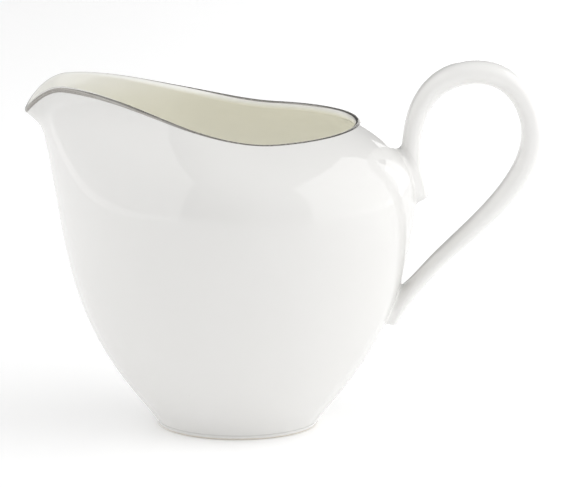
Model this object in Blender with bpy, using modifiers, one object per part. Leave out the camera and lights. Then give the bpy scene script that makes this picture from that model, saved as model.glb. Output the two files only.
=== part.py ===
"""Cream jug in bone china, with a fired platinum line along its lip.

The body is a thin slip-cast wall, turned below the belly and drawn out above it
into a long pouring lip. It stands on a foot ring. A loop handle made of an oval
strap is stuck on with slip at two places, one beside the mouth and one low on the
wall. The metal line covers the lip's edge all the way round.

Metres, +Z up. The origin is on the table, under the middle of the jug's overall
length. The lip pours towards -X, the handle stands at +X, and y = 0 is the plane
of symmetry.
"""
import math

import bmesh
import bpy
from mathutils import Vector

MM = 0.001

# ---- driving dimensions, in millimetres --------------------------------------
AXIS_X = -11.2          # turning axis of the body, from the middle of the length
GAP = 0.3               # clearance kept between pieces that touch

FOOT_HEIGHT = 3.3       # foot ring, from the table to the underside of the body
FOOT_BEARING_R = 19.1   # outside of the face it stands on
FOOT_TOP_R = 20.7       # outside where it meets the body
FOOT_INNER_R = 16.4     # inside of the face it stands on
FOOT_RECESS_R = 15.6    # inside of the recess, at its top

BASE_R = 21.2           # underside of the body, where the wall starts to climb
BASE_CLIMB = math.radians(40.0)   # lean of the wall there, from upright
BELLY_R = 42.1          # radius at the ring where the turned part ends
BELLY_Z = 48.0
BELLY_SLOPE = 0.167     # radius gained per unit of height at that ring
LOWER_PULL = (18.0, 20.2)   # how long the lower wall holds each end's direction

MOUTH_R = 29.2          # round part of the mouth
MOUTH_BACK_R = 28.6     # the same towards the handle, where it is a little flatter
NOSE_R = 9.1            # radius of the pouring lip's nose, in plan
NOSE_TIP = 51.2         # from the axis to the end of the nose
LIP_LOW_Z = 73.5        # lip beside the handle
LIP_HIGH_Z = 83.4       # top of the lip's sweep, near the nose
LIP_TIP_Z = 76.2        # end of the nose
LIP_BACK_RISE = 0.6     # the lip climbs again a little under the handle
SWEEP_FROM = -9.4       # where the sweep starts, from the axis towards the nose
SWEEP_TO = 41.1         # where it ends

WALL = 2.3              # thickness of the body
LIP_WALL = 1.9          # thickness at the lip
LINE_DEPTH = 0.7        # how far down the lip the metal line reaches

STRAP_WIDTH = 8.8       # handle strap, across the jug
JOINT_THICK = 0.6       # slip between handle and wall
JOINT_GROW = 0.9        # how far the slip squeezes out around the strap
TAIL_BEVEL = 0.8        # rounding of the strap's two blunt ends

# The strap's middle line: x from the axis, z, direction in degrees, pull before,
# pull after, and thickness. It starts at the upper end, flat on the wall.
HANDLE_NODES = (
    (42.8, 54.8, 101.0, 0.0, 5.8, 6.0),
    (41.6, 69.1, 85.5, 7.9, 11.4, 4.6),
    (57.2, 85.7, 0.0, 8.1, 8.9, 5.6),
    (70.5, 70.5, -90.0, 7.0, 12.8, 5.5),
    (46.4, 38.1, -132.0, 10.8, 6.7, 3.7),
    (36.4, 24.9, -118.5, 6.0, 0.0, 4.0),
)

# ---- mesh density ------------------------------------------------------------
HALF_COLUMNS = 30       # around half of the body
LOWER_ROWS = 9
UPPER_ROWS = 10
FOOT_STEPS = 52
STRAP_STEPS = 9         # sections along each stretch of the handle
STRAP_SIDES = 16


def smooth_step(low, high, value):
    """Ease from 0 at low to 1 at high."""
    t = min(max((value - low) / (high - low), 0.0), 1.0)
    return t * t * (3.0 - 2.0 * t)


def column_angle(step):
    """Angle of a column of the loft, counted from the handle; closer at the nose."""
    share = min(max(step / HALF_COLUMNS, 0.0), 1.0)
    return math.pi * share + 0.45 * math.sin(math.pi * share)


def cubic(p0, p1, p2, p3, t):
    """Point on a cubic Bezier."""
    s = 1.0 - t
    return p0 * s ** 3 + p1 * (3 * s * s * t) + p2 * (3 * s * t * t) + p3 * t ** 3


# ---- the body's surface ------------------------------------------------------
def mouth_point(phi):
    """Plan of the lip: a round mouth, two tangents and a round nose.

    phi runs from 0 at the handle to pi at the nose. Gives the place from the axis
    and the outward direction there.
    """
    nose_x = NOSE_TIP - NOSE_R
    spread = math.acos((MOUTH_R - NOSE_R) / nose_x)
    leave = math.pi - spread
    if phi <= leave:
        reach = MOUTH_BACK_R if phi < math.pi / 2.0 else MOUTH_R
        return reach * math.cos(phi), MOUTH_R * math.sin(phi), phi
    straight = math.sqrt(nose_x ** 2 - (MOUTH_R - NOSE_R) ** 2)
    along = (phi - leave) / spread * (straight + NOSE_R * spread)
    if along < straight:
        share = along / straight
        radius = MOUTH_R + (NOSE_R - MOUTH_R) * share
        return radius * math.cos(leave) - nose_x * share, radius * math.sin(leave), leave
    turn = leave + (along - straight) / NOSE_R
    return NOSE_R * math.cos(turn) - nose_x, NOSE_R * math.sin(turn), turn


def lip_height(x):
    """Height of the lip's edge at x from the axis, an S between mouth and nose."""
    z = LIP_LOW_Z + (LIP_HIGH_Z - LIP_LOW_Z) * smooth_step(SWEEP_FROM, SWEEP_TO, -x)
    past = max((-x - SWEEP_TO) / (NOSE_TIP - SWEEP_TO), 0.0)
    z -= (LIP_HIGH_Z - LIP_TIP_Z) * past ** 2
    z += LIP_BACK_RISE * max(x / MOUTH_R, 0.0) ** 2
    return z


def upper_curve(phi):
    """Bezier from the belly ring up to the lip, with the lip's outward direction."""
    x, y, turn = mouth_point(phi)
    out = Vector((math.cos(turn), math.sin(turn), 0.0))
    round_out = Vector((math.cos(phi), math.sin(phi), 0.0))
    spout = smooth_step(math.radians(95.0), math.pi, phi)
    lean = math.radians(-61.0 + 102.0 * spout)
    start = round_out * BELLY_R + Vector((0.0, 0.0, BELLY_Z))
    leave = round_out * BELLY_SLOPE + Vector((0.0, 0.0, 1.0))
    lip = Vector((x, y, lip_height(x)))
    arrive = out * math.sin(lean) + Vector((0.0, 0.0, math.cos(lean)))
    rise = 16.2 + 14.8 * spout
    settle = 11.2 - 3.2 * spout
    return start, start + leave * rise, lip - arrive * settle, lip


def lower_point(phi, t):
    """Point on the turned wall between the underside and the belly ring."""
    side = Vector((math.cos(phi), math.sin(phi), 0.0))
    up = Vector((0.0, 0.0, 1.0))
    start = side * BASE_R + up * (FOOT_HEIGHT + GAP)
    end = side * BELLY_R + up * BELLY_Z
    climb = side * math.sin(BASE_CLIMB) + up * math.cos(BASE_CLIMB)
    arrive = side * BELLY_SLOPE + up
    return cubic(start, start + climb * LOWER_PULL[0], end - arrive * LOWER_PULL[1], end, t)


def cut_short(points, length):
    """Share of the upper curve that ends the given length below its top."""
    steps = 60
    last = points[3]
    run = 0.0
    for step in range(1, steps):
        t = 1.0 - step / steps
        here = cubic(*points, t)
        run += (here - last).length
        last = here
        if run >= length:
            return t + (run - length) / (run / step) / steps
    return 0.0


def half_wall(bm, trim):
    """Loft one half of the wall; trim is how far below the lip's edge it stops.

    Gives the rows of vertices, from the underside to the top.
    """
    rows = []
    for row in range(LOWER_ROWS):
        share = row / LOWER_ROWS
        rows.append([lower_point(column_angle(i), share) for i in range(HALF_COLUMNS + 1)])
    curves = [upper_curve(column_angle(i)) for i in range(HALF_COLUMNS + 1)]
    tops = [cut_short(curve, trim) for curve in curves]
    for row in range(UPPER_ROWS + 1):
        share = row / UPPER_ROWS
        rows.append([cubic(*curve, share * top) for curve, top in zip(curves, tops)])
    verts = []
    for row in rows:
        verts.append([])
        for point in row:
            place = point + Vector((AXIS_X, 0.0, 0.0))
            verts[-1].append(bm.verts.new(place * MM))
    for low, high in zip(verts, verts[1:]):
        for i in range(HALF_COLUMNS):
            bm.faces.new((low[i], low[i + 1], high[i + 1], high[i]))
    return verts


def close_disc(bm, ring, z, upward):
    """Fill a half ring with a fan to the axis."""
    centre = bm.verts.new(Vector((AXIS_X, 0.0, z)) * MM)
    for a, b in zip(ring, ring[1:]):
        bm.faces.new((a, b, centre) if upward else (b, a, centre))


# ---- scene helpers -----------------------------------------------------------
def clear_scene():
    """Remove every object that the file opened with."""
    for obj in list(bpy.data.objects):
        bpy.data.objects.remove(obj, do_unlink=True)


def new_collection(name):
    """Collection linked under the scene."""
    collection = bpy.data.collections.new(name)
    bpy.context.scene.collection.children.link(collection)
    return collection


def make_material(name, colour, roughness, metallic=0.0):
    """Principled material with one colour."""
    material = bpy.data.materials.new(name)
    material.use_nodes = True
    shader = material.node_tree.nodes["Principled BSDF"]
    shader.inputs["Base Color"].default_value = (*colour, 1.0)
    shader.inputs["Roughness"].default_value = roughness
    shader.inputs["Metallic"].default_value = metallic
    material.diffuse_color = (*colour, 1.0)
    return material


def add_object(name, bm, collection, material=None, smooth_below=40.0):
    """Turn a bmesh into a named object, shaded smooth but for its sharp edges."""
    mesh = bpy.data.meshes.new(name)
    bm.to_mesh(mesh)
    bm.free()
    mesh.shade_smooth()
    mesh.set_sharp_from_angle(angle=math.radians(smooth_below))
    obj = bpy.data.objects.new(name, mesh)
    collection.objects.link(obj)
    if material:
        mesh.materials.append(material)
    else:
        obj.hide_render = True
        obj.display_type = "WIRE"
    return obj


def mirror_across_y(obj):
    """Complete a half that is open at y = 0."""
    mirror = obj.modifiers.new("other_half", "MIRROR")
    mirror.use_axis = (False, True, False)
    mirror.use_clip = True
    mirror.merge_threshold = 0.00005


def add_boolean(obj, cutter, operation):
    """Cut or trim an object with a closed cutter."""
    boolean = obj.modifiers.new(cutter.name, "BOOLEAN")
    boolean.operation = operation
    boolean.solver = "EXACT"
    boolean.object = cutter


# ---- pieces ------------------------------------------------------------------
def make_body(collection, material):
    """Body: an open lofted skin, mirrored and given its wall inwards."""
    bm = bmesh.new()
    rows = half_wall(bm, LINE_DEPTH + GAP)
    close_disc(bm, rows[0], FOOT_HEIGHT + GAP, upward=False)
    bm.verts.index_update()
    lip_rows = {vert.index: 1.0 for row in rows[:-3] for vert in row}
    thin = LIP_WALL / WALL
    for step, row in enumerate(rows[-3:]):
        for vert in row:
            lip_rows[vert.index] = 1.0 + (thin - 1.0) * (step + 1) / 3.0
    count = len(bm.verts)
    obj = add_object("body_shell", bm, collection, material)
    group = obj.vertex_groups.new(name="wall")
    for index in range(count):
        group.add([index], lip_rows.get(index, 1.0), "REPLACE")
    mirror_across_y(obj)
    solidify = obj.modifiers.new("wall", "SOLIDIFY")
    solidify.thickness = WALL * MM
    solidify.offset = -1.0
    solidify.use_even_offset = True
    solidify.vertex_group = "wall"
    return obj


def make_envelope(name, collection, grow):
    """Closed cutter that follows the outside of the body, grown outwards."""
    bm = bmesh.new()
    rows = half_wall(bm, 0.0)
    close_disc(bm, rows[0], FOOT_HEIGHT + GAP, upward=False)
    close_disc(bm, rows[-1], LIP_LOW_Z, upward=True)
    obj = add_object(name, bm, collection)
    mirror_across_y(obj)
    displace = obj.modifiers.new("grow", "DISPLACE")
    displace.mid_level = 0.0
    displace.strength = grow * MM
    return obj


def make_foot(collection, material):
    """Foot ring: a turned profile, down the outside, across the face, up the recess."""
    profile = (
        (FOOT_TOP_R, FOOT_HEIGHT),
        (FOOT_TOP_R - 0.9, 1.2),
        (FOOT_BEARING_R, 0.35),
        (FOOT_BEARING_R - 0.45, 0.0),
        (FOOT_INNER_R + 0.45, 0.0),
        (FOOT_INNER_R, 0.35),
        (FOOT_RECESS_R, FOOT_HEIGHT),
    )
    mesh = bpy.data.meshes.new("foot_ring")
    points = [(r * MM, 0.0, z * MM) for r, z in profile]
    edges = [(i, (i + 1) % len(points)) for i in range(len(points))]
    mesh.from_pydata(points, edges, [])
    mesh.materials.append(material)
    obj = bpy.data.objects.new("foot_ring", mesh)
    collection.objects.link(obj)
    obj.location.x = AXIS_X * MM
    screw = obj.modifiers.new("turn", "SCREW")
    screw.steps = FOOT_STEPS
    screw.render_steps = FOOT_STEPS
    screw.use_merge_vertices = True
    screw.merge_threshold = 0.00005
    screw.use_smooth_shade = True
    return obj


def make_line(collection, material):
    """Metal line: the lip's rounded edge as a ring, clear of the body below it."""
    bm = bmesh.new()
    rings = []
    for i in range(2 * HALF_COLUMNS):
        step = i if i <= HALF_COLUMNS else 2 * HALF_COLUMNS - i
        side = 1.0 if i <= HALF_COLUMNS else -1.0
        curve = upper_curve(column_angle(step))
        up = (curve[3] - cubic(*curve, 0.97)).normalized()
        before = upper_curve(column_angle(step - 0.5))[3]
        after = upper_curve(column_angle(step + 0.5))[3]
        along = (after - before).normalized()
        if step in (0, HALF_COLUMNS):
            along = Vector((0.0, 1.0 if step == 0 else -1.0, 0.0))
        inward = up.cross(along).normalized()
        if inward.dot(Vector((-curve[3].x, -curve[3].y, 0.0))) < 0.0:
            inward = -inward
        section = (
            (0.0, -LINE_DEPTH),
            (0.0, -0.35),
            (0.35, -0.05),
            (LIP_WALL * 0.5, 0.0),
            (LIP_WALL - 0.35, -0.05),
            (LIP_WALL, -0.35),
            (LIP_WALL, -LINE_DEPTH),
        )
        ring = []
        for across, lift in section:
            point = curve[3] + inward * across + up * lift
            place = Vector((point.x + AXIS_X, point.y * side, point.z))
            ring.append(bm.verts.new(place * MM))
        rings.append(ring)
    for ring, following in zip(rings, rings[1:] + rings[:1]):
        for j in range(len(ring)):
            k = (j + 1) % len(ring)
            bm.faces.new((ring[j], ring[k], following[k], following[j]))
    bmesh.ops.recalc_face_normals(bm, faces=bm.faces)
    return add_object("rim_line", bm, collection, material, 60.0)


def strap_sections(grow, start, end):
    """Oval sections along the handle's middle line, between two of its nodes."""
    sections = []
    for a, b in zip(HANDLE_NODES[start:end], HANDLE_NODES[start + 1:end + 1]):
        p0 = Vector((a[0], 0.0, a[1]))
        p3 = Vector((b[0], 0.0, b[1]))
        d0 = Vector((math.cos(math.radians(a[2])), 0.0, math.sin(math.radians(a[2]))))
        d3 = Vector((math.cos(math.radians(b[2])), 0.0, math.sin(math.radians(b[2]))))
        p1 = p0 + d0 * a[4]
        p2 = p3 - d3 * b[3]
        steps = range(STRAP_STEPS + (1 if b is HANDLE_NODES[end] else 0))
        for step in steps:
            t = step / STRAP_STEPS
            place = cubic(p0, p1, p2, p3, t)
            ahead = cubic(p0, p1, p2, p3, t + 0.001) - cubic(p0, p1, p2, p3, t - 0.001)
            thick = a[5] + (b[5] - a[5]) * smooth_step(0.0, 1.0, t)
            sections.append((place, ahead.normalized(), thick * 0.5 + grow))
    return sections


def make_strap(name, collection, material, grow=0.0, start=0, end=5, extend=0.0):
    """Sweep the strap's rounded section along its middle line and close the ends."""
    bm = bmesh.new()
    sections = strap_sections(grow, start, end)
    if extend:
        first = sections[0]
        last = sections[-1]
        sections.insert(0, (first[0] - first[1] * extend, first[1], first[2]))
        sections.append((last[0] + last[1] * extend, last[1], last[2]))
    half_width = STRAP_WIDTH * 0.5 + grow
    rings = []
    for place, ahead, half_thick in sections:
        across = Vector((-ahead.z, 0.0, ahead.x))
        ring = []
        for j in range(STRAP_SIDES):
            angle = 2.0 * math.pi * (j + 0.5) / STRAP_SIDES
            c = math.cos(angle)
            s = math.sin(angle)
            y = half_width * math.copysign(abs(c) ** 0.85, c)
            out = half_thick * math.copysign(abs(s) ** 0.85, s)
            point = place + across * out + Vector((AXIS_X, y, 0.0))
            ring.append(bm.verts.new(point * MM))
        rings.append(ring)
    for ring, following in zip(rings, rings[1:]):
        for j in range(STRAP_SIDES):
            k = (j + 1) % STRAP_SIDES
            bm.faces.new((ring[j], following[j], following[k], ring[k]))
    bm.faces.new(rings[0])
    bm.faces.new(list(reversed(rings[-1])))
    bmesh.ops.recalc_face_normals(bm, faces=bm.faces)
    return add_object(name, bm, collection, material)


def make_handle(collection, material, envelope):
    """Handle: the whole strap with softened ends, trimmed to stand off the wall."""
    obj = make_strap("handle", collection, material)
    bevel = obj.modifiers.new("soft_ends", "BEVEL")
    bevel.width = TAIL_BEVEL * MM
    bevel.segments = 2
    bevel.limit_method = "ANGLE"
    bevel.angle_limit = math.radians(60.0)
    add_boolean(obj, envelope, "DIFFERENCE")
    return obj


def make_joint(name, collection, material, start, end, inner, outer):
    """Slip joint: a slightly larger strap kept only in the gap beside the wall."""
    obj = make_strap(name, collection, material, JOINT_GROW, start, end, JOINT_GROW)
    add_boolean(obj, outer, "INTERSECT")
    add_boolean(obj, inner, "DIFFERENCE")
    return obj


def main():
    """Build the jug."""
    clear_scene()
    jug = new_collection("bone_china_cream_jug")
    cutters = new_collection("cutters")
    china = make_material("china_glaze", (0.84, 0.83, 0.80), 0.08)
    foot_china = make_material("foot_china", (0.80, 0.79, 0.75), 0.25)
    strap_china = make_material("handle_china", (0.84, 0.83, 0.80), 0.08)
    slip = make_material("joint_slip", (0.82, 0.81, 0.78), 0.10)
    platinum = make_material("platinum_line", (0.42, 0.40, 0.38), 0.18, 1.0)

    make_body(jug, china)
    make_foot(jug, foot_china)
    make_line(jug, platinum)
    skin_inner = make_envelope("skin_inner", cutters, GAP)
    skin_outer = make_envelope("skin_outer", cutters, GAP + JOINT_THICK)
    skin_handle = make_envelope("skin_handle", cutters, 2.0 * GAP + JOINT_THICK)
    make_handle(jug, strap_china, skin_handle)
    make_joint("upper_slip_joint", jug, slip, 0, 1, skin_inner, skin_outer)
    make_joint("lower_slip_joint", jug, slip, 4, 5, skin_inner, skin_outer)


main()
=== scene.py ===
"""Bone-china cream jug with a fired platinum line, dressed for a studio still.

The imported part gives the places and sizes. Each real piece is made again here as a
fine mesh with its own finish: the glazed wall, the foot ring with its bare standing
face, the strap handle, the slip that sticks the handle on, and the metal line.
"""

import logging
import math
from dataclasses import dataclass
from enum import Enum
from typing import Any, Callable, Optional, Sequence

import bpy
import numpy as np
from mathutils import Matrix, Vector

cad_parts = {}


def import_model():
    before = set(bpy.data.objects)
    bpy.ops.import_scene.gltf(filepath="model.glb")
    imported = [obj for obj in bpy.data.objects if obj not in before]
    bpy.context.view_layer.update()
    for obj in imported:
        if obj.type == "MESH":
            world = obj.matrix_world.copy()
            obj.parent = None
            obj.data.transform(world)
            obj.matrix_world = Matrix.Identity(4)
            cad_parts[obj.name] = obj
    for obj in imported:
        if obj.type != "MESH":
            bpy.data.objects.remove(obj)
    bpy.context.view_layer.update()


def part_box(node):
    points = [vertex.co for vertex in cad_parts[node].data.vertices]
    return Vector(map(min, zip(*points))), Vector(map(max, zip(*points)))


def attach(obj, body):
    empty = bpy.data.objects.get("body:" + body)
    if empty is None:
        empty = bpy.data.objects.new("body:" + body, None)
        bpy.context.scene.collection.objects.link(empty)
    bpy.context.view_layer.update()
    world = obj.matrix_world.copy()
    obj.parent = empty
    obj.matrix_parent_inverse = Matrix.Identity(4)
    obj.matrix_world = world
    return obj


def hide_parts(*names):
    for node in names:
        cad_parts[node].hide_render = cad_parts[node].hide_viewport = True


MM = 0.001
Array = np.ndarray
log = logging.getLogger("cream_jug")


class BuriedSide(Enum):
    """Which end of the handle a slip joint holds."""

    UPPER = 0
    LOWER = -1


# ---- curves and grids ----------------------------------------------------------
def ease(low: float, high: float, value: Array) -> Array:
    """Rise smoothly from 0 at low to 1 at high.

    Args:
        low: value where the rise starts.
        high: value where it ends.
        value: numbers to map.

    Returns:
        The eased share for each number.
    """
    t = np.clip((value - low) / (high - low), 0.0, 1.0)
    return t * t * (3.0 - 2.0 * t)


def bezier(p0: Array, p1: Array, p2: Array, p3: Array, t: Array) -> Array:
    """Points on cubic Beziers.

    Args:
        p0: first ends, one row for each curve.
        p1: first handles.
        p2: second handles.
        p3: second ends.
        t: shares along the curves.

    Returns:
        Points with the share first, then the curve, then the axis.
    """
    u = t.reshape((-1,) + (1,) * p0.ndim)
    v = 1.0 - u
    return v ** 3 * p0 + 3 * v * v * u * p1 + 3 * v * u * u * p2 + u ** 3 * p3


def soften(values: Array, sigma: float, wrap: bool) -> Array:
    """Average along the first axis with a bell-shaped weight.

    Args:
        values: samples, evenly spaced along the first axis.
        sigma: width of the bell, in samples.
        wrap: True for a closed loop; an open run keeps its two ends.

    Returns:
        The softened samples.
    """
    reach = max(int(math.ceil(3.0 * sigma)), 1)
    weights = np.exp(-0.5 * (np.arange(-reach, reach + 1) / sigma) ** 2)
    weights /= weights.sum()
    if wrap:
        padded = np.concatenate([values[-reach:], values, values[:reach]])
    else:
        head = 2.0 * values[0] - values[reach:0:-1]
        tail = 2.0 * values[-1] - values[-2:-reach - 2:-1]
        padded = np.concatenate([head, values, tail])
    return sum(w * padded[i:i + len(values)] for i, w in enumerate(weights))


def unit(vectors: Array) -> Array:
    """Vectors scaled to length 1."""
    return vectors / np.maximum(np.linalg.norm(vectors, axis=-1, keepdims=True), 1e-12)


def mesh_object(name: str, verts: Array, faces: Sequence[Sequence[int]],
                material: Optional[bpy.types.Material] = None) -> bpy.types.Object:
    """Make a smooth-shaded mesh object at the origin.

    Args:
        name: the piece's name.
        verts: places in metres.
        faces: vertex numbers of each face.
        material: finish of the whole piece.

    Returns:
        The linked object.
    """
    mesh = bpy.data.meshes.new(name)
    mesh.from_pydata([tuple(v) for v in verts], [], [tuple(f) for f in faces])
    mesh.validate()
    mesh.shade_smooth()
    if material:
        mesh.materials.append(material)
    obj = bpy.data.objects.new(name, mesh)
    bpy.context.scene.collection.objects.link(obj)
    return obj


def path_object(name: str, points: Array, closed: bool,
                facts: dict[str, Array]) -> bpy.types.Object:
    """Make a wire of points with numbers stored on it, for a node tree to sweep.

    Args:
        name: the wire's name.
        points: places in metres.
        closed: True joins the last point to the first.
        facts: one number or vector for each point, by attribute name.

    Returns:
        The linked object.
    """
    count = len(points)
    edges = [(i, i + 1) for i in range(count - 1)]
    if closed:
        edges.append((count - 1, 0))
    mesh = bpy.data.meshes.new(name)
    mesh.from_pydata([tuple(p) for p in points], edges, [])
    for key, values in facts.items():
        kind = "FLOAT_VECTOR" if values.ndim == 2 else "FLOAT"
        layer = mesh.attributes.new(key, kind, "POINT")
        layer.data.foreach_set("vector" if values.ndim == 2 else "value",
                               values.astype(np.float32).ravel())
    obj = bpy.data.objects.new(name, mesh)
    bpy.context.scene.collection.objects.link(obj)
    return obj


# ---- node trees ----------------------------------------------------------------
class Bench:
    """A node tree under construction, with one method that makes any node."""

    def __init__(self, tree: bpy.types.NodeTree) -> None:
        """Keep the tree."""
        self.tree = tree

    def node(self, kind: str, settings: Optional[dict[str, Any]] = None,
             **sockets: Any) -> bpy.types.Node:
        """Add a node.

        Args:
            kind: the node's type name.
            settings: properties set before its sockets, or a ramp's stops as "stops".
            **sockets: a value, a socket or a Number for each input; spaces in an
                input's name are written as _, and in3 means the fourth input.

        Returns:
            The node.
        """
        made = self.tree.nodes.new(kind)
        for key, value in (settings or {}).items():
            if key == "stops":
                ramp = made.color_ramp
                ramp.elements[0].position, ramp.elements[0].color = value[0]
                ramp.elements[1].position, ramp.elements[1].color = value[-1]
                for place, colour in value[1:-1]:
                    ramp.elements.new(place).color = colour
            else:
                setattr(made, key, value)
        for key, value in sockets.items():
            if key.startswith("in") and key[2:].isdigit():
                socket = made.inputs[int(key[2:])]
            else:
                socket = made.inputs[key.replace("_", " ")]
            if isinstance(value, Number):
                value = value.socket
            if isinstance(value, bpy.types.NodeSocket):
                self.tree.links.new(value, socket)
            else:
                socket.default_value = value
        return made

    def number(self, socket: bpy.types.NodeSocket) -> "Number":
        """Wrap a socket so that it can stand in an expression."""
        return Number(self, socket)


class Number:
    """A number that changes over the surface, used with + - * / and **."""

    def __init__(self, bench: Bench, socket: bpy.types.NodeSocket) -> None:
        """Keep the bench and the socket that gives the number."""
        self.bench = bench
        self.socket = socket

    def _maths(self, operation: str, first: Any, second: Any = 0.0,
               clamp: bool = False) -> "Number":
        """Add one Math node.

        Args:
            operation: the node's operation.
            first: its first value.
            second: its second value.
            clamp: True limits the result to 0 to 1.

        Returns:
            The result as a Number.
        """
        made = self.bench.node("ShaderNodeMath",
                               {"operation": operation, "use_clamp": clamp},
                               in0=first, in1=second)
        return Number(self.bench, made.outputs[0])

    def __add__(self, other: Any) -> "Number":
        """Sum."""
        return self._maths("ADD", self, other)

    def __radd__(self, other: Any) -> "Number":
        """Sum with a plain number on the left."""
        return self._maths("ADD", other, self)

    def __sub__(self, other: Any) -> "Number":
        """Difference."""
        return self._maths("SUBTRACT", self, other)

    def __rsub__(self, other: Any) -> "Number":
        """Difference from a plain number on the left."""
        return self._maths("SUBTRACT", other, self)

    def __mul__(self, other: Any) -> "Number":
        """Product."""
        return self._maths("MULTIPLY", self, other)

    def __rmul__(self, other: Any) -> "Number":
        """Product with a plain number on the left."""
        return self._maths("MULTIPLY", other, self)

    def __truediv__(self, other: Any) -> "Number":
        """Quotient."""
        return self._maths("DIVIDE", self, other)

    def __pow__(self, other: Any) -> "Number":
        """Power."""
        return self._maths("POWER", self, other)

    def clamped(self) -> "Number":
        """The same number limited to 0 to 1."""
        return self._maths("ADD", self, 0.0, clamp=True)

    def below(self, level: float) -> "Number":
        """1 where the number is under the level, and 0 elsewhere."""
        return self._maths("LESS_THAN", self, level)

    def sign(self) -> "Number":
        """-1, 0 or 1."""
        return self._maths("SIGN", self)

    def size(self) -> "Number":
        """The number without its sign."""
        return self._maths("ABSOLUTE", self)


class Surface(Bench):
    """Bench for a material, with the lookups that every finish here uses."""

    def __init__(self, name: str) -> None:
        """Start an empty material.

        Args:
            name: the material's name.
        """
        self.material = bpy.data.materials.new(name)
        self.material.use_nodes = True
        super().__init__(self.material.node_tree)
        self.tree.nodes.clear()
        self.place = self.node("ShaderNodeTexCoord").outputs["Object"]

    def noise(self, per_metre: float, detail: float = 2.0, rough: float = 0.5,
              place: Any = None) -> Number:
        """Noise around 0.5.

        Args:
            per_metre: how many waves fit in a metre.
            detail: octaves.
            rough: strength of the finer octaves.
            place: coordinates, the object's own when left out.

        Returns:
            The noise as a Number.
        """
        made = self.node("ShaderNodeTexNoise", Vector=place or self.place,
                         Scale=per_metre, Detail=detail, Roughness=rough)
        return self.number(made.outputs["Fac"])

    def blend(self, share: Any, first: Any, second: Any) -> bpy.types.NodeSocket:
        """Colour between two colours.

        Args:
            share: 0 gives the first and 1 the second.
            first: colour or socket.
            second: colour or socket.

        Returns:
            The colour socket.
        """
        made = self.node("ShaderNodeMix", {"data_type": "RGBA"}, in0=share)
        for index, colour in ((6, first), (7, second)):
            if isinstance(colour, bpy.types.NodeSocket):
                self.tree.links.new(colour, made.inputs[index])
            else:
                made.inputs[index].default_value = (*colour, 1.0)
        return made.outputs[2]

    def bump(self, height: Number, depth: float,
             under: Optional[bpy.types.NodeSocket] = None) -> bpy.types.NodeSocket:
        """Relief from a height.

        Args:
            height: 0 to 1.
            depth: real depth in metres from 0 to 1.
            under: an earlier relief that this one lies on.

        Returns:
            The normal socket.
        """
        made = self.node("ShaderNodeBump", Distance=depth, Strength=1.0, Height=height)
        if under is not None:
            self.tree.links.new(under, made.inputs["Normal"])
        return made.outputs["Normal"]

    def finish(self, **sockets: Any) -> bpy.types.Material:
        """Close the material with its shader.

        Args:
            **sockets: the Principled shader's inputs.

        Returns:
            The material.
        """
        shader = self.node("ShaderNodeBsdfPrincipled", **sockets)
        self.node("ShaderNodeOutputMaterial", Surface=shader.outputs["BSDF"])
        return self.material


# ---- finishes ------------------------------------------------------------------
@dataclass(frozen=True)
class ChinaGlaze:
    """Clear, glossy glaze on white bone china; the creamier colour inside the jug is painted glow,
    standing in for warm light let through the thin wall and bounced about inside.
    """

    name: str = "china_glaze"
    outside: tuple[float, float, float] = (0.765, 0.759, 0.745)
    # painted glow: this warmer inside colour stands in for light let through the china wall and
    # bounced inside the jug
    inside: tuple[float, float, float] = (0.765, 0.760, 0.725)
    gloss: float = 0.028
    wave_depth: float = 0.00004
    peel_depth: float = 0.0000022

    def make(self) -> bpy.types.Material:
        """Build the material.

        Returns:
            A glaze whose colour, gloss and surface vary a little, as fired glaze does.
        """
        s = Surface(self.name)
        clouds = s.noise(38.0, 3.0, 0.55)
        # painted glow: the inside mask blends in the creamier colour that stands in for light let
        # through and bounced inside the jug
        inner = s.number(s.node("ShaderNodeAttribute",
                                {"attribute_name": "inside"}).outputs["Fac"])
        body = s.blend(inner.clamped(), self.outside, self.inside)
        deeper = s.node("ShaderNodeMix", {"data_type": "RGBA", "blend_type": "MULTIPLY"},
                        in0=1.0)
        s.tree.links.new(body, deeper.inputs[6])
        s.tree.links.new(s.blend((clouds - 0.5) * 1.6 + 0.5, (0.985, 0.984, 0.978),
                                 (1.0, 1.0, 1.0)), deeper.inputs[7])
        specks = s.node("ShaderNodeTexVoronoi", {"feature": "F1"}, Vector=s.place,
                        Scale=95.0, Randomness=1.0)
        speck = s.number(specks.outputs["Distance"]).below(0.018)
        tint = s.blend(speck * 0.10, deeper.outputs[2], (0.45, 0.42, 0.36))
        waves = s.noise(46.0, 1.0, 0.4)
        peel = s.noise(760.0, 2.0, 0.5)
        relief = s.bump(peel, self.peel_depth, s.bump(waves, self.wave_depth))
        gloss = self.gloss + (clouds - 0.5) * 0.03 + speck * 0.05
        return s.finish(Base_Color=tint, Roughness=gloss, Normal=relief, IOR=1.52)


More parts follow.
